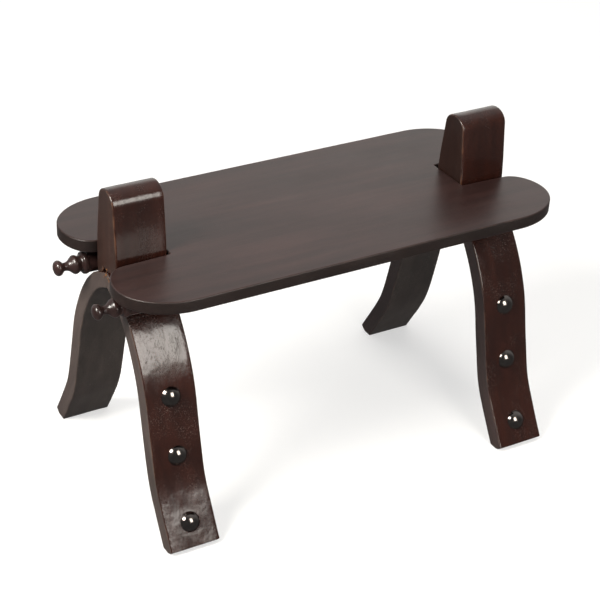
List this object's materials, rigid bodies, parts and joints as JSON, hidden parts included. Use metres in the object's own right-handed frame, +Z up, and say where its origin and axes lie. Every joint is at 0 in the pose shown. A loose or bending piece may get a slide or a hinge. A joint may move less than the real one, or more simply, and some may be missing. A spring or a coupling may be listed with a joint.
{
  "type": "saddle stool frame",
  "caption": "Low wooden saddle stool frame with a notched flat seat board, upright end posts, S-curved legs with domed nail heads and turned side rails.",
  "frame": {"origin": "on the floor, under the middle of the seat board", "axes": "+X along the board from the left post to the right post, +Y across it to the rear, +Z up"},
  "size_m": [0.5786, 0.316, 0.3752],
  "materials": {
    "seat_stain": "dark brown stain, satin, faint lengthwise grain",
    "frame_stain": "dark red-brown stain under gloss varnish, worn on the edges",
    "bare_wood": "unstained, sanded",
    "dark_nail": "polished blackened steel",
    "screw_steel": "plain zinc-plated steel"
  },
  "bodies": {
    "root": {"seat_board": "seat_stain", "pommel_post_left": "frame_stain", "seat_batten_left": "seat_stain", "mitre_dowel_left": "bare_wood", "pommel_post_right": "frame_stain", "seat_batten_right": "seat_stain", "mitre_dowel_right": "bare_wood", "rail_front": "frame_stain", "leg_front_left": "frame_stain", "finial_front_left": "frame_stain", "stud_front_left_upper": "dark_nail", "stud_front_left_middle": "dark_nail", "stud_front_left_lower": "dark_nail", "post_dowel_front_left_1": "bare_wood", "post_dowel_front_left_2": "bare_wood", "leg_screw_front_left": "screw_steel", "rail_screw_front_left": "screw_steel", "leg_front_right": "frame_stain", "finial_front_right": "frame_stain", "stud_front_right_upper": "dark_nail", "stud_front_right_middle": "dark_nail", "stud_front_right_lower": "dark_nail", "post_dowel_front_right_1": "bare_wood", "post_dowel_front_right_2": "bare_wood", "leg_screw_front_right": "screw_steel", "rail_screw_front_right": "screw_steel", "rail_rear": "frame_stain", "leg_rear_left": "frame_stain", "finial_rear_left": "frame_stain", "stud_rear_left_upper": "dark_nail", "stud_rear_left_middle": "dark_nail", "stud_rear_left_lower": "dark_nail", "post_dowel_rear_left_1": "bare_wood", "post_dowel_rear_left_2": "bare_wood", "leg_screw_rear_left": "screw_steel", "rail_screw_rear_left": "screw_steel", "leg_rear_right": "frame_stain", "finial_rear_right": "frame_stain", "stud_rear_right_upper": "dark_nail", "stud_rear_right_middle": "dark_nail", "stud_rear_right_lower": "dark_nail", "post_dowel_rear_right_1": "bare_wood", "post_dowel_rear_right_2": "bare_wood", "leg_screw_rear_right": "screw_steel", "rail_screw_rear_right": "screw_steel"}
  },
  "joints": []
}
